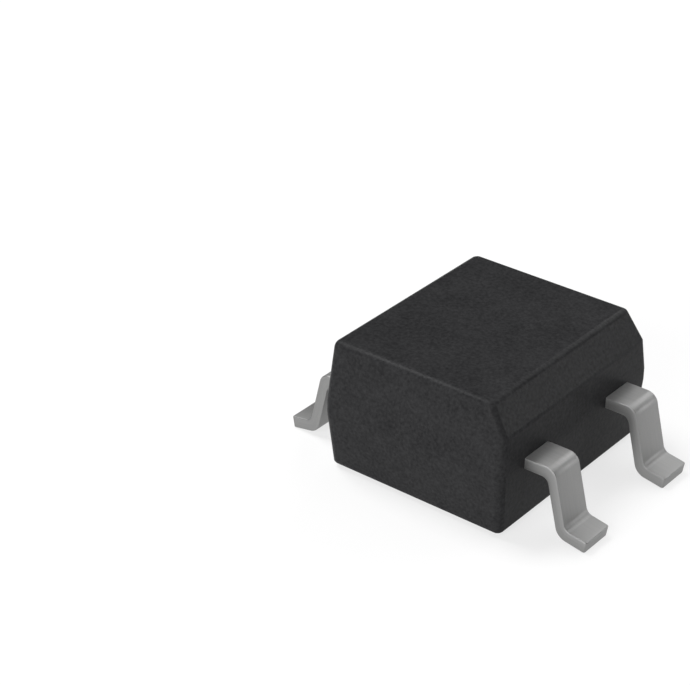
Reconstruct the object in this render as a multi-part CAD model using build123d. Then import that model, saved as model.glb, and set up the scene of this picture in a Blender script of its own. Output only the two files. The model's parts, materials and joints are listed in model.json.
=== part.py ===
from build123d import *
import os
from math import radians, sin, cos, tan

# Four-lead surface-mount bridge rectifier, in millimetres.
# X runs across the two rows of leads, with the bevelled side of the moulding at +X.
# Y runs along a row. Z is up, and the tips of the feet touch z = 0.

# Moulding
body_length = 4.75            # along Y, over the parting band
body_width = 3.97             # along X, over the parting band
lower_depth = 1.16            # depth of the lower mould half
upper_depth = 1.21            # depth of the upper mould half
standoff = 0.06               # underside above the board
side_draft_lower = 3.5        # degrees, on the two sides with leads
side_draft_upper = 3.0
end_draft_lower = 6.0         # degrees, on the two plain ends
end_draft_upper = 8.0
bevel_inset = 0.34            # bevel width on the top face
bevel_drop = 0.59             # bevel depth down the +X side
edge_radius = 0.15            # edges of the top and the bevel
corner_extra = 0.01           # how much rounder the four upright corners are
underside_radius = 0.10

# Lead frames
sheet = 0.23                  # copper strip with its tin plating
lead_width = 0.73
lead_pitch = 2.60             # between the two leads of a row
lead_span = 6.70              # over the toes
lead_shoulder = 2.62          # sharp corner of the upper bend, from the middle
lead_lean = 13.5              # degrees that the leg leans outwards
foot_slope = 10.0             # degrees that the foot falls towards its toe
toe_slant = 2.0               # degrees that the sheared toe leans off square
leg_sheet = 0.21              # the leg, which forming has drawn a little thinner
shoulder_inside = 0.15        # radii of the bend from the body down the leg
shoulder_outside = 0.23
heel_inside = 0.16            # radii of the bend from the leg out along the foot
heel_outside = 0.27
step_angle = 45.0             # degrees of the step inside the moulding
step_radius = 0.06            # inside radius of the step's bends
step_flat = 0.05              # flat of the pad or bridge before its step begins
blank_radius = 0.07           # corners of the stamped blank
lock_radius = 0.07            # notches that lock the lead in the resin
lock_setback = 0.12           # notches, inside the body wall

# Dice and solder
die_side = 1.00
die_height = 0.28
mesa_width = 0.11             # glass-covered bevel round the anode face
mesa_height = 0.09
solder = 0.05                 # thickness of each joint
solder_margin = 0.05          # solder stops this far inside the die's face
die_spacing_x = 1.50          # between the two columns of dice
die_spacing_y = 1.70          # between the two rows of dice

# Pads and bridges
pad_margin = 0.12             # lower pad beyond the dice, all round
bridge_margin_x = 0.05        # upper bridge beyond the dice, across
bridge_margin_y = 0.12        # upper bridge beyond the dice, at its ends
arm_gap = 0.16                # resin between the plus bridge and the minus arm
arm_width = 0.42

# Heights and places that follow
half_width = body_width / 2
half_length = body_length / 2
band_bottom = standoff + lower_depth
band_top = band_bottom + sheet
body_top = band_top + upper_depth
corner_radius = edge_radius + corner_extra
stack = die_height + 2 * solder
step = (stack + sheet) / 2
lower_pad_top = band_top - step
half_span = lead_span / 2
lead_y = lead_pitch / 2
die_x = die_spacing_x / 2
die_y = die_spacing_y / 2
pad_x = die_x + die_side / 2 + pad_margin
step_start = pad_x + step_flat
beyond = 2 * lead_span        # cutting shapes reach this far past the part
level = 0.001                 # an edge that rises less than this counts as level


def prism(points, plane, reach):
    """A closed outline on a plane, extruded the same distance both ways."""
    return extrude(plane * make_face(Polyline(*points, close=True)), amount=reach, both=True)


def outline_at(z, in_x=0, in_y=0):
    """The moulding's rounded outline at a height, drawn in by the draft on its sides and ends."""
    outline = RectangleRounded(body_width - 2 * in_x, body_length - 2 * in_y, corner_radius)
    return Pos(0, 0, z) * outline


def mould_half(band_z, face_z, side_draft, end_draft):
    """One half of the moulding, drafted from the parting band to its flat face."""
    depth = abs(face_z - band_z)
    in_x = depth * tan(radians(side_draft))
    in_y = depth * tan(radians(end_draft))
    return loft([outline_at(band_z), outline_at(face_z, in_x, in_y)], ruled=True)


def bevel_cutter():
    """Everything beyond the bevel along the top edge of the +X side."""
    top_x = half_width - upper_depth * tan(radians(side_draft_upper)) - bevel_inset
    side_x = half_width - (upper_depth - bevel_drop) * tan(radians(side_draft_upper))
    run = side_x - top_x
    triangle = [
        (top_x - run, body_top + bevel_drop),
        (side_x + run, body_top - 2 * bevel_drop),
        (side_x + run, body_top + bevel_drop),
    ]
    return prism(triangle, Plane.XZ, beyond)


def body_shell():
    """The moulding's outside: two drafted halves on a straight band as thick as the lead
    frames, one bevel, and every edge rounded apart from the parting lines."""
    lower = mould_half(band_bottom, standoff, side_draft_lower, end_draft_lower)
    upper = mould_half(band_top, body_top, side_draft_upper, end_draft_upper)
    band = extrude(outline_at(band_bottom), amount=sheet)
    block = lower + band + upper - bevel_cutter()
    around_top = level_edges(block, body_top) + level_edges(block, body_top - bevel_drop)
    bevel_ends = [edge for edge in block.edges() if is_bevel_end(edge)]
    block = fillet(around_top + bevel_ends, edge_radius)
    return fillet(level_edges(block, standoff), underside_radius)


def level_edges(block, height):
    """The edges that lie flat at a height."""
    boxes = [(edge, edge.bounding_box()) for edge in block.edges()]
    return [edge for edge, box in boxes if abs(box.max.Z - height) < level and box.size.Z < level]


def is_bevel_end(edge):
    """True for the two slanting edges, where the bevel meets the plain ends."""
    box = edge.bounding_box()
    return box.size.Z > level and box.max.Z > body_top - level and box.size.X > bevel_inset / 2


def offset_below(face, depths):
    """The same bent line below it, each run at its own depth, square to the run."""
    runs = [(end - start).normalized() for start, end in zip(face, face[1:])]
    below = [Vector(run.Y, -run.X) for run in runs]
    corners = [face[0] + below[0] * depths[0]]
    for i, point in enumerate(face[1:-1]):
        turn = below[i].dot(below[i + 1])
        before = (depths[i] - turn * depths[i + 1]) / (1 - turn ** 2)
        after = (depths[i + 1] - turn * depths[i]) / (1 - turn ** 2)
        corners.append(point + below[i] * before + below[i + 1] * after)
    corners.append(face[-1] + below[-1] * depths[-1])
    return corners


def formed_strip(rise):
    """Side view of a whole lead frame of the +X row, extruded across the full width.
    From the inner end it steps by rise to the parting band, leaves the body, turns down
    along the leg and out along the foot."""
    slope = radians(foot_slope)
    lean = radians(lead_lean)
    toe_top_z = sheet * (cos(slope) - tan(radians(toe_slant)) * sin(slope))
    step_run = abs(rise) / tan(radians(step_angle))
    # The leg's outer face meets the foot's upper face at the corner (heel_x, heel_z).
    drop = band_top - toe_top_z
    reach = half_span - lead_shoulder
    heel_x = lead_shoulder + (drop - reach * tan(slope)) * tan(lean) / (1 - tan(lean) * tan(slope))
    heel_z = toe_top_z + (half_span - heel_x) * tan(slope)
    spare = 2 * sheet
    upper_face = [
        Vector(-half_width, band_top + rise),
        Vector(step_start, band_top + rise),
        Vector(step_start + step_run, band_top),
        Vector(lead_shoulder, band_top),
        Vector(heel_x, heel_z),
        Vector(half_span + spare, heel_z - (half_span + spare - heel_x) * tan(slope)),
    ]
    lower_face = offset_below(upper_face, [sheet, sheet, sheet, leg_sheet, sheet])
    if rise > 0:
        upper_radii = [step_radius + sheet, step_radius]
        lower_radii = [step_radius, step_radius + sheet]
    else:
        upper_radii = [step_radius, step_radius + sheet]
        lower_radii = [step_radius + sheet, step_radius]
    upper_radii += [shoulder_outside, heel_inside]
    lower_radii += [shoulder_inside, heel_outside]
    outline = [
        FilletPolyline(*upper_face, radius=upper_radii),
        Line(upper_face[-1], lower_face[-1]),
        FilletPolyline(*lower_face, radius=lower_radii),
        Line(lower_face[0], upper_face[0]),
    ]
    section = make_face([edge for line in outline for edge in line.edges()])
    strip = extrude(Plane.XZ * section, amount=beyond, both=True)
    toe = Pos(half_span, 0, toe_top_z) * Rot(0, foot_slope + toe_slant, 0)
    return strip - toe * Box(beyond, 3 * beyond, beyond, align=(Align.MIN, Align.CENTER, Align.CENTER))


def blank(outline, lead_at):
    """The stamped outline seen from above, with a lock notch on each edge of the lead."""
    plate = prism(outline, Plane.XY, beyond)
    upright = plate.edges().filter_by(Axis.Z)
    plate = fillet([e for e in upright if abs(e.center().X) < half_width], blank_radius)
    notch = Cylinder(lock_radius, 2 * beyond)
    lock_x = half_width - lock_setback
    for edge_y in (lead_at - lead_width / 2, lead_at + lead_width / 2):
        plate -= Pos(lock_x, edge_y, 0) * notch
    return plate


def ac_frame(row):
    """A lower frame: its pad carries two dice, one beside the other across the body.
    It is drawn as a frame of the +X row and turned half round to come out at -X."""
    inner_y = die_y - die_side / 2 - pad_margin
    outer_y = die_y + die_side / 2 + pad_margin
    near_y = lead_y - lead_width / 2
    far_y = lead_y + lead_width / 2
    outline = [
        (-pad_x, inner_y),
        (pad_x, inner_y),
        (pad_x, near_y),
        (beyond, near_y),
        (beyond, far_y),
        (pad_x - (far_y - outer_y), far_y),
        (pad_x - 2 * (far_y - outer_y), outer_y),
        (-pad_x, outer_y),
    ]
    frame = formed_strip(-step) & blank(outline, lead_y)
    frame = frame.rotate(Axis.Z, 180)
    if row > 0:
        frame = frame.mirror(Plane.XZ)
    return frame


def bridge_outline():
    """Edges of the plus bridge, which the minus frame also keeps clear of."""
    half = die_side / 2
    near_x = die_x - half - bridge_margin_x
    far_x = die_x + half + bridge_margin_x
    end_y = die_y + half + bridge_margin_y
    return near_x, far_x, end_y


def plus_frame():
    """The upper frame over the column of dice next to its own lead, at -Y."""
    near_x, far_x, end_y = bridge_outline()
    outer_y = -lead_y - lead_width / 2
    inner_y = -lead_y + lead_width / 2
    corner = abs(outer_y) - end_y
    outline = [
        (near_x, -end_y),
        (far_x - 2 * corner, -end_y),
        (far_x - corner, outer_y),
        (beyond, outer_y),
        (beyond, inner_y),
        (far_x, inner_y),
        (far_x, end_y),
        (near_x, end_y),
    ]
    return formed_strip(step) & blank(outline, -lead_y)


def minus_frame():
    """The upper frame over the far column of dice. Its arm passes the end of the plus
    bridge and turns back to the lead at +Y."""
    near_x, far_x, end_y = bridge_outline()
    arm_inner = end_y + arm_gap
    arm_outer = arm_inner + arm_width
    turn_x = far_x + arm_gap
    outer_y = lead_y + lead_width / 2
    outline = [
        (-far_x, -end_y),
        (-near_x, -end_y),
        (-near_x, arm_inner),
        (turn_x, arm_inner),
        (turn_x, lead_y - lead_width / 2),
        (beyond, lead_y - lead_width / 2),
        (beyond, outer_y),
        (half_width - lock_setback, outer_y),
        (turn_x + arm_gap, arm_outer),
        (-far_x, arm_outer),
    ]
    return formed_strip(step) & blank(outline, lead_y)


def die(mesa_up):
    """A square silicon die with its glass-covered bevel round the anode face."""
    wafer = Box(die_side, die_side, die_height, align=(Align.CENTER, Align.CENTER, Align.MIN))
    rim = wafer.faces().sort_by(Axis.Z)[-1].edges()
    wafer = chamfer(rim, mesa_height, mesa_width)
    if not mesa_up:
        wafer = Pos(0, 0, die_height) * Rot(180, 0, 0) * wafer
    return wafer


def joint(mesa_side):
    """A solder joint, smaller than the die face that it wets."""
    side = die_side - 2 * solder_margin
    if mesa_side:
        side -= 2 * mesa_width
    return Box(side, side, solder, align=(Align.CENTER, Align.CENTER, Align.MIN))


def stacks():
    """The four dice and their joints by name. The two under the plus frame have the anode
    down, on their AC pad, and the two under the minus frame have it up."""
    places = {
        "ac_1_to_plus": (die_x, -die_y, False),
        "ac_2_to_plus": (die_x, die_y, False),
        "minus_to_ac_1": (-die_x, -die_y, True),
        "minus_to_ac_2": (-die_x, die_y, True),
    }
    pieces = {}
    for name, (x, y, mesa_up) in places.items():
        die_z = lower_pad_top + solder
        pieces["solder_below_" + name] = Pos(x, y, lower_pad_top) * joint(not mesa_up)
        pieces["die_" + name] = Pos(x, y, die_z) * die(mesa_up)
        pieces["solder_above_" + name] = Pos(x, y, die_z + die_height) * joint(mesa_up)
    return pieces


def moulded_body(inserts):
    """The resin fills everything round the inserts, so it is the outside less each of them."""
    body = body_shell()
    for insert in inserts:
        body -= insert
    return body


pieces = {
    "lead_frame_ac_1": ac_frame(-1),
    "lead_frame_ac_2": ac_frame(1),
    "lead_frame_plus": plus_frame(),
    "lead_frame_minus": minus_frame(),
}
pieces.update(stacks())
pieces["moulded_body"] = moulded_body(list(pieces.values()))

os.makedirs("parts", exist_ok=True)
for name, shape in pieces.items():
    export_step(shape, "parts/" + name + ".step")
    print(name, round(shape.volume, 4))
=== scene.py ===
# %% [markdown]
# # A four-lead surface-mount bridge rectifier
#
# The real part is a black block of moulded epoxy, 4.75 mm long, with four tinned copper
# leads that are bent into gull wings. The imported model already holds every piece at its
# real size. This file gives the pieces that can be seen their finish: crisp rounded edges
# on the moulding, smooth bends on the leads, and materials that answer to light as filled
# epoxy and tin do.

# %% Load the frame
import math
import json
import bmesh
import bpy
from mathutils import Matrix, Vector

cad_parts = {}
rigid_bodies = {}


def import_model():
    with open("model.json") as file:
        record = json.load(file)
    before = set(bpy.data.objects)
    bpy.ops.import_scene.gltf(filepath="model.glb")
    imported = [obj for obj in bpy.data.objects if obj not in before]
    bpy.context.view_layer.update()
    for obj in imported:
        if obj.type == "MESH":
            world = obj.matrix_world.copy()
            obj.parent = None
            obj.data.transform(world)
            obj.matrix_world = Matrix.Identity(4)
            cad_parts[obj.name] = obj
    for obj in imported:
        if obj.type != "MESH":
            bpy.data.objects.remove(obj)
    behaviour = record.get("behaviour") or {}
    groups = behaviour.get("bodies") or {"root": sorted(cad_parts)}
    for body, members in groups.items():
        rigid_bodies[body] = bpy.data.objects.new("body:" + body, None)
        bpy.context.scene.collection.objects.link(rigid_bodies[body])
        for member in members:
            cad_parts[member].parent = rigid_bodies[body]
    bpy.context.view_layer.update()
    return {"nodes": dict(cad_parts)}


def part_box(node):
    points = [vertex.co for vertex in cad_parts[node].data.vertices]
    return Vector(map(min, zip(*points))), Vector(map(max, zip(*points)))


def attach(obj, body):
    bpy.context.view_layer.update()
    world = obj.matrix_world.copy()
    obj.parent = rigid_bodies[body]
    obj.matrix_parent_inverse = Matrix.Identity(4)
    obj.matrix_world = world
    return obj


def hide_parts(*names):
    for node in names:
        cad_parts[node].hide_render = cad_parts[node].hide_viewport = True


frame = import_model()
scene = bpy.context.scene
print("nodes:", len(frame["nodes"]))

# %% [markdown]
# Blender counts in metres, and a draughtsman of a part like this counts in millimetres.
# One constant keeps both readable. The overall sizes are read from the frame, so the new
# pieces always land where the model has theirs. The moulding has two halves. They meet on
# a straight band, as thick as the strip that the leads are stamped from.

# %% Sizes of the moulding
MM = 0.001
tiny = 0.0001 * MM                      # two heights nearer than this are the same
body_low, body_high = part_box("moulded_body")
half_width = body_high.x
half_length = body_high.y
underside = body_low.z
top = body_high.z
sheet = 0.23 * MM                       # thickness of the leads' strip
lower_depth = 1.16 * MM
band_bottom = underside + lower_depth
band_top = band_bottom + sheet
side_draft_lower = math.radians(3.5)
side_draft_upper = math.radians(3.0)
end_draft_lower = math.radians(6.0)
end_draft_upper = math.radians(8.0)
bevel_inset = 0.34 * MM                 # how far the bevel reaches into the top
bevel_drop = 0.59 * MM                  # and down the side
edge_radius = 0.15 * MM
corner_radius = 0.16 * MM
underside_radius = 0.10 * MM
print("body:", [round(2 * v / MM, 3) for v in (half_width, half_length)], "mm")

# %% [markdown]
# ## Small helpers
#
# A bmesh has to become an object that rides on the part's one body, stands for its node
# and takes its finish. Those four steps are the same for every piece, so they are one
# function. Smooth shading alone would smear a flat face into its rounded rim. The
# Weighted Normal modifier lets the large faces win, so they stay flat right to the edge.

# %% Turn a bmesh into a piece
def finish_piece(bm, name, node, material, modifiers=()):
    bmesh.ops.recalc_face_normals(bm, faces=bm.faces)
    mesh = bpy.data.meshes.new(name)
    bm.to_mesh(mesh)
    bm.free()
    mesh.shade_smooth()
    piece = bpy.data.objects.new(name, mesh)
    scene.collection.objects.link(piece)
    for kind, settings in modifiers:
        modifier = piece.modifiers.new(kind.title(), kind)
        for key, value in settings.items():
            setattr(modifier, key, value)
    weighted = piece.modifiers.new("Flat faces win", "WEIGHTED_NORMAL")
    weighted.mode = "FACE_AREA"
    weighted.weight = 100
    mesh.materials.append(material)
    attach(piece, "root")
    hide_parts(node)
    print(name, len(mesh.polygons), "faces before modifiers")
    return piece


# %% [markdown]
# ## Materials
#
# Every material here is a small tree of nodes. One function adds a node, sets its values
# and makes its links, so that each material below reads as a recipe. Colours are written
# as they look on a screen, and a second function turns them into the linear values that
# Blender calculates with.

# %% Nodes and colours
def add_node(tree, kind, values=None, links=None, **settings):
    node = tree.nodes.new(kind)
    for key, value in settings.items():
        setattr(node, key, value)
    for key, value in (values or {}).items():
        node.inputs[key].default_value = value
    for key, output in (links or {}).items():
        tree.links.new(output, node.inputs[key])
    return node


def linear(hex_colour):
    parts = [int(hex_colour[i:i + 2], 16) / 255 for i in (1, 3, 5)]
    curve = [p / 12.92 if p <= 0.04045 else ((p + 0.055) / 1.055) ** 2.4 for p in parts]
    return (*curve, 1.0)


def new_material(name):
    material = bpy.data.materials.new(name)
    material.use_nodes = True
    material.node_tree.nodes.clear()
    return material, material.node_tree


print("mid grey is", round(linear("#808080")[0], 3), "in linear values")

# %% [markdown]
# ### Black filled epoxy
#
# The block is transfer-moulded from epoxy that is mostly silica filler with a little
# carbon black. The steel mould is spark-eroded, which leaves a fine, even grain, so the
# surface is a dull charcoal and not a gloss black. Two noises do it: a fine one for the
# grain, as speckle and as bump, and a wider, weaker one that makes the colour and the
# roughness drift, as flow lines in the resin do. The grain of a real mould is about
# 0.02 mm. It is drawn at 0.06 mm so that it shows in the render. A surface so broken
# keeps very little shine, so the specular level is low: just enough for a light line
# along the rounded edges.

# %% Epoxy
def filled_epoxy():
    grain = 0.06 * MM
    drift = 0.6 * MM
    material, tree = new_material("filled_epoxy")
    place = add_node(tree, "ShaderNodeTexCoord").outputs["Object"]
    fine = add_node(
        tree, "ShaderNodeTexNoise",
        {"Scale": 1 / grain, "Detail": 2.0, "Roughness": 0.6}, {"Vector": place},
    )
    wide = add_node(
        tree, "ShaderNodeTexNoise",
        {"Scale": 1 / drift, "Detail": 3.0, "Roughness": 0.5}, {"Vector": place},
    )
    speckle = add_node(
        tree, "ShaderNodeMix",
        {"Factor": 0.75}, {"A": wide.outputs["Fac"], "B": fine.outputs["Fac"]},
    )
    colour = add_node(tree, "ShaderNodeValToRGB", {}, {"Fac": speckle.outputs[0]})
    colour.color_ramp.elements[0].position = 0.25
    colour.color_ramp.elements[0].color = linear("#1c1c1d")
    colour.color_ramp.elements[1].position = 0.75
    colour.color_ramp.elements[1].color = linear("#333334")
    rough = add_node(
        tree, "ShaderNodeMapRange",
        {"From Min": 0.3, "From Max": 0.7, "To Min": 0.36, "To Max": 0.40},
        {"Value": wide.outputs["Fac"]},
    )
    bump = add_node(
        tree, "ShaderNodeBump",
        {"Strength": 0.35, "Distance": 0.004 * MM}, {"Height": fine.outputs["Fac"]},
    )
    shader = add_node(
        tree, "ShaderNodeBsdfPrincipled",
        {"IOR": 1.5, "Specular IOR Level": 0.042},
        {
            "Base Color": colour.outputs["Color"],
            "Roughness": rough.outputs["Result"],
            "Normal": bump.outputs["Normal"],
        },
    )
    add_node(tree, "ShaderNodeOutputMaterial", {}, {"Surface": shader.outputs["BSDF"]})
    return material


epoxy = filled_epoxy()
print(epoxy.name, len(epoxy.node_tree.nodes), "nodes")

# %% [markdown]
# ### Tin plate on copper
#
# The leads are copper strip with a few microns of matte tin. Rolling leaves very fine
# streaks along the strip, and the plating softens them, so the sheen is satin. The
# streaks have to follow the bends, so they are laid out on the piece's own UV map, where
# u runs along the strip and v across it, both in millimetres. The crystals of the
# plating add small spots.

# %% Tin
def tin_plate():
    streak_width = 0.03
    streak_length = 1.5
    crystal = 0.02
    material, tree = new_material("tin_plate")
    strip = add_node(tree, "ShaderNodeTexCoord").outputs["UV"]
    stretch = add_node(
        tree, "ShaderNodeMapping",
        {"Scale": (1 / streak_length, 1 / streak_width, 1.0)}, {"Vector": strip},
    )
    streaks = add_node(
        tree, "ShaderNodeTexNoise",
        {"Scale": 1.0, "Detail": 3.0, "Roughness": 0.6}, {"Vector": stretch.outputs["Vector"]},
    )
    spots = add_node(
        tree, "ShaderNodeTexNoise", {"Scale": 1 / crystal, "Detail": 2.0}, {"Vector": strip}
    )
    both = add_node(
        tree, "ShaderNodeMix",
        {"Factor": 0.4}, {"A": streaks.outputs["Fac"], "B": spots.outputs["Fac"]},
    )
    colour = add_node(tree, "ShaderNodeValToRGB", {}, {"Fac": both.outputs[0]})
    colour.color_ramp.elements[0].position = 0.3
    colour.color_ramp.elements[0].color = linear("#898989")
    colour.color_ramp.elements[1].position = 0.7
    colour.color_ramp.elements[1].color = linear("#959594")
    rough = add_node(
        tree, "ShaderNodeMapRange",
        {"From Min": 0.3, "From Max": 0.7, "To Min": 0.5, "To Max": 0.56},
        {"Value": both.outputs[0]},
    )
    bump = add_node(
        tree, "ShaderNodeBump",
        {"Strength": 0.25, "Distance": 0.002 * MM}, {"Height": both.outputs[0]},
    )
    shader = add_node(
        tree, "ShaderNodeBsdfPrincipled",
        {"Metallic": 1.0},
        {
            "Base Color": colour.outputs["Color"],
            "Roughness": rough.outputs["Result"],
            "Normal": bump.outputs["Normal"],
        },
    )
    add_node(tree, "ShaderNodeOutputMaterial", {}, {"Surface": shader.outputs["BSDF"]})
    return material


tin = tin_plate()
print(tin.name, len(tin.node_tree.nodes), "nodes")

# %% [markdown]
# ## The moulding
#
# A mould has two halves that meet on the lead frames, so the block has a straight band as
# thick as the frames, and draft above and below it. A cube, cut at the band's two planes,
# has its corners at just those heights. Moving the corners of the top and the underside
# inwards gives the draft, and one more cut gives the bevel. Only then are the edges
# rounded, because a bevel on a finished sharp form makes clean corner patches.

# %% Sharp form of the moulding
def cut(bm, place, normal, clear=False):
    geometry = bm.verts[:] + bm.edges[:] + bm.faces[:]
    made = bmesh.ops.bisect_plane(
        bm, geom=geometry, dist=tiny, plane_co=place, plane_no=normal, clear_outer=clear
    )
    return made["geom_cut"]


def draw_in(bm, level, depth, side_draft, end_draft):
    for vert in bm.verts:
        if abs(vert.co.z - level) < tiny:
            vert.co.x -= math.copysign(depth * math.tan(side_draft), vert.co.x)
            vert.co.y -= math.copysign(depth * math.tan(end_draft), vert.co.y)


def sharp_moulding():
    bm = bmesh.new()
    bmesh.ops.create_cube(bm, size=1.0)
    bmesh.ops.scale(bm, vec=(2 * half_width, 2 * half_length, top - underside), verts=bm.verts)
    bmesh.ops.translate(bm, vec=(0, 0, (top + underside) / 2), verts=bm.verts)
    for level in (band_bottom, band_top):
        cut(bm, (0, 0, level), (0, 0, 1))
    draw_in(bm, underside, lower_depth, side_draft_lower, end_draft_lower)
    draw_in(bm, top, top - band_top, side_draft_upper, end_draft_upper)
    side_x = half_width - (top - bevel_drop - band_top) * math.tan(side_draft_upper)
    top_x = half_width - (top - band_top) * math.tan(side_draft_upper) - bevel_inset
    normal = Vector((bevel_drop, 0, side_x - top_x)).normalized()
    rim = cut(bm, (top_x, 0, top), normal, clear=True)
    rim_edges = [part for part in rim if isinstance(part, bmesh.types.BMEdge)]
    bmesh.ops.contextual_create(bm, geom=rim_edges)
    return bm


moulding_form = sharp_moulding()
print("sharp moulding:", len(moulding_form.faces), "faces")

# %% [markdown]
# The Bevel modifier measures how far the rounding reaches from an edge. On a square edge
# that equals the radius, but on a blunt one it is less: radius times the tangent of half
# the turn. Each edge gets its own reach as a bevel weight, so the blunt edge under the
# bevel and the square ones round the top come out with one radius, as one cutter would
# leave them. The band's long lines stay sharp, because there the two mould halves meet.

# %% Round the moulding's edges
widest_reach = 1.3 * corner_radius


def radius_of(edge):
    low, high = sorted(vert.co.z for vert in edge.verts)
    if high - low < tiny:
        if abs(low - underside) < tiny:
            return underside_radius
        return 0.0 if low < band_top + tiny else edge_radius
    on_bevel = high > top - tiny and low > top - bevel_drop - tiny
    return edge_radius if on_bevel else corner_radius


def weigh_edges(bm):
    weight = bm.edges.layers.float.new("bevel_weight_edge")
    for edge in bm.edges:
        reach = radius_of(edge) * math.tan(edge.calc_face_angle() / 2)
        edge[weight] = reach / widest_reach


weigh_edges(moulding_form)
rounding = {
    "limit_method": "WEIGHT", "width": widest_reach, "segments": 8, "offset_type": "OFFSET",
}
moulding = finish_piece(
    moulding_form, "moulding", "moulded_body", epoxy, [("BEVEL", rounding)]
)

# %% [markdown]
# ## The lead frames
#
# A lead frame is stamped from flat strip and then formed. The script does the same: it
# draws the flat outline, gives it the strip's thickness and breaks its edges, cuts it
# across where it will bend, and then lays it between two rails. The rails are the upper
# and the lower face of the formed strip. They need not be parallel: pressing squeezes the
# two outer bends and leaves the leg a little thinner than the rest.

# %% Sizes of the strip
lead_width = 0.73 * MM
lead_y = 1.30 * MM                      # middle of a lead, from the middle of the block
toe_x = 3.35 * MM
shoulder_x = 2.62 * MM                  # where the leg's face and the top would meet
lean = math.radians(13.5)               # of the leg, off upright
slope = math.radians(10.0)              # of the foot, down towards its toe
toe_slant = math.radians(2.0)           # of the sheared toe, off square
leg_sheet = 0.21 * MM
shoulder_inside = 0.15 * MM
shoulder_outside = 0.23 * MM
heel_inside = 0.16 * MM
heel_outside = 0.27 * MM
step_inside = 0.06 * MM
step_outside = step_inside + sheet
step = 0.305 * MM                       # up or down to the frame's level in the block
step_start = 1.42 * MM
print("strip:", round(lead_width / MM, 2), "x", round(sheet / MM, 2), "mm")

# %% [markdown]
# Seen from the side, a formed strip is a row of straight runs. The upper face is given by
# the corners where its runs would meet if the bends were sharp. The corners of the lower
# face follow from them: each run of it lies one thickness below the run above, and a
# corner is where two such lines cross. The `rise` is the step inside the block, up for
# two of the frames and down for the others.

# %% Corners of the two faces
def upper_corners(rise):
    """The strip's upper face, from the middle of the body out to the toe."""
    toe_z = sheet * (math.cos(slope) - math.tan(toe_slant) * math.sin(slope))
    drop = band_top - toe_z - (toe_x - shoulder_x) * math.tan(slope)
    heel_x = shoulder_x + drop * math.tan(lean) / (1 - math.tan(lean) * math.tan(slope))
    heel_z = toe_z + (toe_x - heel_x) * math.tan(slope)
    return [
        Vector((0, band_top + rise)),
        Vector((step_start, band_top + rise)),
        Vector((step_start + abs(rise), band_top)),
        Vector((shoulder_x, band_top)),
        Vector((heel_x, heel_z)),
        Vector((toe_x, toe_z)),
    ]


def lower_corners(upper):
    """The lower face: each run lies its own depth below, square to the run."""
    depths = [sheet, sheet, sheet, leg_sheet, sheet]
    runs = [(end - start).normalized() for start, end in zip(upper, upper[1:])]
    below = [Vector((run.y, -run.x)) for run in runs]
    lower = [upper[0] + below[0] * depths[0]]
    for i, point in enumerate(upper[1:-1]):
        turn = below[i].dot(below[i + 1])
        before = (depths[i] - turn * depths[i + 1]) / (1 - turn ** 2)
        after = (depths[i + 1] - turn * depths[i]) / (1 - turn ** 2)
        lower.append(point + below[i] * before + below[i + 1] * after)
    lower.append(upper[-1] + below[-1] * depths[-1])
    return lower


print("toe:", [round(v / MM, 3) for v in upper_corners(0)[-1]], "mm")

# %% [markdown]
# A rail is a row of straight runs and arcs, one arc at each corner. Each of its spans
# keeps its start, its heading, its length and its turn, and `walk` finds the point at any
# share of a span.

# %% Rails
def rail(corners, radii):
    spans = []
    start = corners[0]
    heading = (corners[1] - corners[0]).normalized()
    for corner, after, radius in zip(corners[1:-1], corners[2:], radii):
        next_heading = (after - corner).normalized()
        turn = heading.angle_signed(next_heading)
        reach = radius * math.tan(abs(turn) / 2)
        spans.append((start, heading, (corner - start).length - reach, 0.0))
        spans.append((corner - heading * reach, heading, radius * abs(turn), turn))
        start = corner + next_heading * reach
        heading = next_heading
    spans.append((start, heading, (corners[-1] - start).length, 0.0))
    return spans


def walk(span, share):
    start, heading, length, turn = span
    if not turn:
        return start + heading * length * share
    # angle_signed is positive clockwise, so the centre lies below for a positive turn
    spoke = Vector((-heading.y, heading.x)) * (length / turn)
    angle = abs(turn) * share
    return start - spoke + spoke * math.cos(angle) + heading * spoke.length * math.sin(angle)


# %% [markdown]
# A `Former` holds both rails, as the press holds its two tools, and answers three
# questions: where the bends lie along the flat strip, where a point of the flat strip
# goes when it is formed, and how far along the flat strip the formed one reaches an x.
# The flat strip is as long as the middle between its rails.

# %% Forming the strip
class Former:
    def __init__(self, rise):
        upper = upper_corners(rise)
        steps = [step_outside, step_inside] if rise > 0 else [step_inside, step_outside]
        self.upper = rail(upper, steps + [shoulder_outside, heel_inside])
        self.lower = rail(lower_corners(upper), steps[::-1] + [shoulder_inside, heel_outside])
        self.lengths = [(a[2] + b[2]) / 2 for a, b in zip(self.upper, self.lower)]
        self.length = sum(self.lengths)

    def bends(self):
        starts = [sum(self.lengths[:i]) for i in range(len(self.lengths))]
        return [(starts[i], self.lengths[i]) for i in range(1, len(self.lengths), 2)]

    def place(self, along, up):
        """Where the point this far along the strip and above its middle goes."""
        i = 0
        while along > self.lengths[i] and i < len(self.lengths) - 1:
            along -= self.lengths[i]
            i += 1
        share = along / self.lengths[i]
        low = walk(self.lower[i], share)
        return low.lerp(walk(self.upper[i], share), 0.5 + up / sheet)

    def unrolled(self, x):
        """How far along the flat strip the formed strip reaches x."""
        low, high = 0.0, self.length
        for _ in range(40):
            middle = (low + high) / 2
            if self.place(middle, 0).x < x:
                low = middle
            else:
                high = middle
        return (low + high) / 2


print("flat strip:", round(Former(step).length / MM, 3), "mm from the middle to the toe")

# %% [markdown]
# The outline is drawn as seen from above, with u along the strip. Its inner corners get
# the small radius of the stamping die, and the two corners of the toe a smaller one.
# After the outline is thickened, both rims are broken with a small round, which gives the
# leads the fine edge lines that stamped and plated strip always has. The last cut across
# the strip, just before the toe, keeps the shading of its rounded corners out of the
# flat of the foot.

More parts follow.
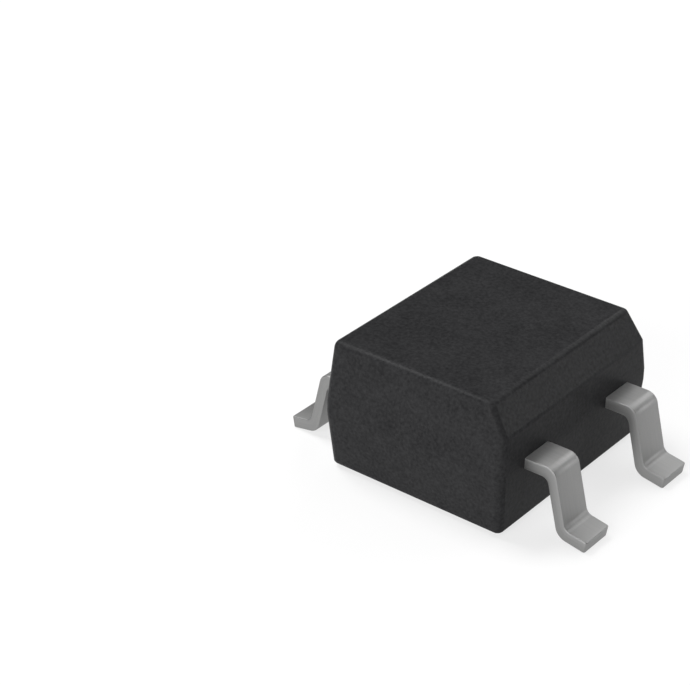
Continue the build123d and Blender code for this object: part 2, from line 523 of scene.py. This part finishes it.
# %% Stamp and form
blank_radius = 0.07 * MM
toe_radius = 0.04 * MM
rim_radius = 0.02 * MM
bend_steps = 10


def round_off(bm, parts, radius, affect):
    bmesh.ops.bevel(
        bm, geom=parts, offset=radius, offset_type="OFFSET", segments=3, profile=0.5,
        affect=affect, clamp_overlap=True, material=-1,
    )


def stamp(outline):
    bm = bmesh.new()
    bm.faces.new([bm.verts.new((u, v, -sheet / 2)) for u, v in outline])
    end = max(u for u, v in outline)
    inner = [vert for vert in bm.verts if abs(vert.co.x) < half_width]
    round_off(bm, inner, blank_radius, "VERTICES")
    toe = [vert for vert in bm.verts if abs(vert.co.x - end) < tiny]
    round_off(bm, toe, toe_radius, "VERTICES")
    made = bmesh.ops.extrude_face_region(bm, geom=bm.faces[:])
    raised = [part for part in made["geom"] if isinstance(part, bmesh.types.BMVert)]
    bmesh.ops.translate(bm, vec=(0, 0, sheet), verts=raised)
    bmesh.ops.recalc_face_normals(bm, faces=bm.faces)
    rims = [e for e in bm.edges if abs(e.verts[0].co.z - e.verts[1].co.z) < tiny]
    round_off(bm, rims, rim_radius, "EDGES")
    return bm


def lay_out_strip(bm):
    """Writes the flat strip's millimetres into the UV map before it is formed."""
    uv = bm.loops.layers.uv.new("strip")
    for face in bm.faces:
        for loop in face.loops:
            loop[uv].uv = (loop.vert.co.x / MM, (loop.vert.co.y + loop.vert.co.z) / MM)


def form(bm, former):
    for at, length in former.bends():
        for i in range(bend_steps + 1):
            cut(bm, (at + length * i / bend_steps, 0, 0), (1, 0, 0))
    cut(bm, (former.length - 2 * toe_radius, 0, 0), (1, 0, 0))
    lay_out_strip(bm)
    for vert in bm.verts:
        spot = former.place(vert.co.x, vert.co.z)
        vert.co.x = spot.x
        vert.co.z = spot.y


# %% [markdown]
# Inside the block each frame ends in what the circuit needs. An AC frame ends in a pad
# that carries two dice. The plus frame is a bridge over two dice, one on each pad. The
# minus frame is such a bridge too, and an arm leads from it round the end of the plus
# frame to its own lead. All these outlines follow from the size and the place of a die.

# %% Outlines of the frames
die_side = 1.00 * MM
die_x = 0.75 * MM
die_y = 0.85 * MM
pad_margin = 0.12 * MM
bridge_margin = 0.05 * MM
arm_gap = 0.16 * MM
arm_width = 0.42 * MM
lock_setback = 0.12 * MM                # the wide arm ends this far inside the block
near_y = lead_y - lead_width / 2
far_y = lead_y + lead_width / 2


def ac_outline(former):
    pad_x = die_x + die_side / 2 + pad_margin
    inner_y = die_y - die_side / 2 - pad_margin
    outer_y = die_y + die_side / 2 + pad_margin
    corner = far_y - outer_y
    return [
        (-pad_x, inner_y), (pad_x, inner_y), (pad_x, near_y),
        (former.length, near_y), (former.length, far_y),
        (pad_x - corner, far_y), (pad_x - 2 * corner, outer_y), (-pad_x, outer_y),
    ]


def bridge_edges():
    near_x = die_x - die_side / 2 - bridge_margin
    far_x = die_x + die_side / 2 + bridge_margin
    end_y = die_y + die_side / 2 + pad_margin
    return near_x, far_x, end_y


def plus_outline(former):
    near_x, far_x, end_y = bridge_edges()
    corner = far_y - end_y
    return [
        (near_x, -end_y), (far_x, -end_y), (far_x, near_y),
        (former.length, near_y), (former.length, far_y),
        (far_x - corner, far_y), (far_x - 2 * corner, end_y), (near_x, end_y),
    ]


def minus_outline(former):
    near_x, far_x, end_y = bridge_edges()
    arm_inner = end_y + arm_gap
    arm_outer = arm_inner + arm_width
    turn_x = far_x + arm_gap
    return [
        (-far_x, -end_y), (-near_x, -end_y), (-near_x, arm_inner),
        (former.unrolled(turn_x), arm_inner), (former.unrolled(turn_x), near_y),
        (former.length, near_y), (former.length, far_y),
        (former.unrolled(half_width - lock_setback), far_y),
        (former.unrolled(turn_x + arm_gap), arm_outer), (-far_x, arm_outer),
    ]


print("leads:", round(2 * lead_y / MM, 2), "mm apart")

# %% [markdown]
# The AC frames lie below the dice and step down inside the block. The plus and minus
# frames lie above them and step up. All four leave the block at the same height. The
# frame of the row at -X is drawn at +X and turned half round, and one of each pair is
# the mirror image of the other.

# %% Make the four frames
def lead_frame(node, rise, outline, half_turn, mirrored):
    former = Former(rise)
    bm = stamp(outline(former))
    form(bm, former)
    if half_turn:
        turn = Matrix.Rotation(math.pi, 3, "Z")
        bmesh.ops.rotate(bm, cent=(0, 0, 0), matrix=turn, verts=bm.verts)
    if mirrored:
        bmesh.ops.scale(bm, vec=(1, -1, 1), verts=bm.verts)
        bmesh.ops.reverse_faces(bm, faces=bm.faces)
    piece = finish_piece(bm, node.replace("lead_frame", "lead"), node, tin)
    return piece


leads = [
    lead_frame("lead_frame_ac_1", -step, ac_outline, True, False),
    lead_frame("lead_frame_ac_2", -step, ac_outline, True, True),
    lead_frame("lead_frame_plus", step, plus_outline, False, True),
    lead_frame("lead_frame_minus", step, minus_outline, False, False),
]
reach = max(abs(vert.co.x) for lead in leads for vert in lead.data.vertices)
print("over the leads:", round(2 * reach / MM, 2), "mm")

# %% [markdown]
# ## Inside the block
#
# The dice and their solder joints can't be seen, but they are in the model, so they get
# the finish that they would have under a microscope: grey silicon with a faint ripple of
# glass, and dull reflowed solder. Their shapes in the model are right as they are, so
# only the material on each is changed.

# %% Silicon and solder
def hidden_finish(name, dark, light, grain, metallic, roughness):
    material, tree = new_material(name)
    place = add_node(tree, "ShaderNodeTexCoord").outputs["Object"]
    noise = add_node(
        tree, "ShaderNodeTexNoise", {"Scale": 1 / grain, "Detail": 3.0}, {"Vector": place}
    )
    colour = add_node(tree, "ShaderNodeValToRGB", {}, {"Fac": noise.outputs["Fac"]})
    colour.color_ramp.elements[0].color = linear(dark)
    colour.color_ramp.elements[1].color = linear(light)
    bump = add_node(
        tree, "ShaderNodeBump",
        {"Strength": 0.3, "Distance": 0.002 * MM}, {"Height": noise.outputs["Fac"]},
    )
    shader = add_node(
        tree, "ShaderNodeBsdfPrincipled",
        {"Metallic": metallic, "Roughness": roughness},
        {"Base Color": colour.outputs["Color"], "Normal": bump.outputs["Normal"]},
    )
    add_node(tree, "ShaderNodeOutputMaterial", {}, {"Surface": shader.outputs["BSDF"]})
    return material


inside = {
    "die_": hidden_finish(
        "glass_passivated_silicon", "#4a4d52", "#6a6e75", 0.08 * MM, 0.0, 0.25
    ),
    "solder_": hidden_finish("reflowed_solder", "#8c8c8a", "#adada9", 0.03 * MM, 1.0, 0.45),
}
for prefix, material in inside.items():
    nodes = [node for name, node in frame["nodes"].items() if name.startswith(prefix)]
    for node in nodes:
        node.data.materials.clear()
        node.data.materials.append(material)
    print(material.name, "on", len(nodes), "pieces")

# %% [markdown]
# ## Floor
#
# The floor is a plain white sheet. Lit paper alone would be uneven and a little grey, and
# stronger lamps would spoil the colours of the part. So the camera sees the floor mostly
# as its own even glow and only partly as lit paper, which keeps a faint shadow. Mirrored
# in the leads it looks the same. For all other light it is just paper.

# %% Lay the floor
def white_floor():
    glow_share = 0.70
    glow_strength = 1.03                # a touch over 1, because the paper is under it
    material, tree = new_material("white_floor")
    rays = add_node(tree, "ShaderNodeLightPath")
    seen = add_node(
        tree, "ShaderNodeMath", {},
        {0: rays.outputs["Is Camera Ray"], 1: rays.outputs["Is Glossy Ray"]},
        operation="ADD",
    )
    seen = add_node(
        tree, "ShaderNodeMath", {},
        {0: seen.outputs[0], 1: rays.outputs["Is Transmission Ray"]},
        operation="ADD", use_clamp=True,
    )
    share = add_node(
        tree, "ShaderNodeMath", {1: glow_share}, {0: seen.outputs[0]}, operation="MULTIPLY"
    )
    paper = add_node(tree, "ShaderNodeBsdfDiffuse", {"Color": linear("#e4e4e4")})
    glow = add_node(
        tree, "ShaderNodeEmission", {"Color": linear("#ffffff"), "Strength": glow_strength}
    )
    mixed = add_node(
        tree, "ShaderNodeMixShader", {},
        {0: share.outputs[0], 1: paper.outputs[0], 2: glow.outputs[0]},
    )
    add_node(tree, "ShaderNodeOutputMaterial", {}, {"Surface": mixed.outputs[0]})
    return material


floor_radius = 400 * MM
floor_bm = bmesh.new()
bmesh.ops.create_circle(floor_bm, cap_ends=True, segments=64, radius=floor_radius)
floor_mesh = bpy.data.meshes.new("floor")
floor_bm.to_mesh(floor_mesh)
floor_bm.free()
floor_mesh.materials.append(white_floor())
floor = bpy.data.objects.new("floor", floor_mesh)
scene.collection.objects.link(floor)
print("floor:", round(2 * floor_radius / MM), "mm across")

# %% [markdown]
# ## Light
#
# A dark, dull part shows its form by small steps of grey, so each softbox has one job. It
# stands where it lights one face fully, or where the camera sees it mirrored in one face
# or edge. The wide ones light the faces evenly. The small ones draw the light line along
# the top's near edge and the sheen on the bevel. Together they give the top of the part
# about the light at which a colour renders as it is written.

# %% Lamps and world
lamp_distance = 150 * MM
wide = 100 * MM


def softbox(name, azimuth, elevation, size, power):
    """A square lamp, seen from the part at this bearing: 0 is -Y, 90 is +X."""
    lamp = bpy.data.lights.new(name, "AREA")
    lamp.shape = "SQUARE"
    lamp.size = size
    lamp.energy = power
    box = bpy.data.objects.new(name, lamp)
    a = math.radians(azimuth)
    e = math.radians(elevation)
    bearing = Vector((math.sin(a) * math.cos(e), -math.cos(a) * math.cos(e), math.sin(e)))
    box.location = bearing * lamp_distance
    box.rotation_euler = bearing.to_track_quat("Z", "Y").to_euler()
    scene.collection.objects.link(box)
    print(name, "lamp", power, "W")


softbox("front", 0, 20, wide, 0.20)                 # the end face
softbox("back", 180, 35, wide, 0.085)               # the bends and the tops of the feet
softbox("high", 140, 62, wide, 0.04)                # a soft fill from above
softbox("left", -86, 59, 70 * MM, 0.20)             # the top, and its near edge's line
softbox("back right", 136, 13, 30 * MM, 0.037)      # the bevel's sheen
softbox("front right", 30, 14, wide, 0.02)          # the near sides of the leads

world = bpy.data.worlds.new("studio")
scene.world = world
world.use_nodes = True
backdrop = world.node_tree.nodes["Background"]
backdrop.inputs["Color"].default_value = linear("#ffffff")
backdrop.inputs["Strength"].default_value = 0.03

# %% [markdown]
# ## Camera
#
# Small parts are photographed from near by with a long lens. The camera looks down at a
# corner, so that the top, one end and the bevelled side all show. It aims to the left of
# the part, which puts the part low and right in the picture.

# %% Place the camera
camera_place = Vector((18.97, -27.74, 21.61)) * MM
camera_aim = Vector((-2.335, -1.312, 2.061)) * MM
camera_data = bpy.data.cameras.new("camera")
camera_data.lens = 110.2
camera_data.clip_start = 1 * MM
camera_data.clip_end = 10.0
camera = bpy.data.objects.new("camera", camera_data)
camera.location = camera_place
camera.rotation_euler = (camera_aim - camera_place).to_track_quat("-Z", "Y").to_euler()
scene.collection.objects.link(camera)
scene.camera = camera
scene.view_settings.view_transform = "Standard"
print("camera:", round((camera_aim - camera_place).length / MM, 1), "mm from its aim")

# %% [markdown]
# ## Finish
#
# Last, the view layer is brought up to date, so that every piece stands where it was put.

# %% Finish
bpy.context.view_layer.update()
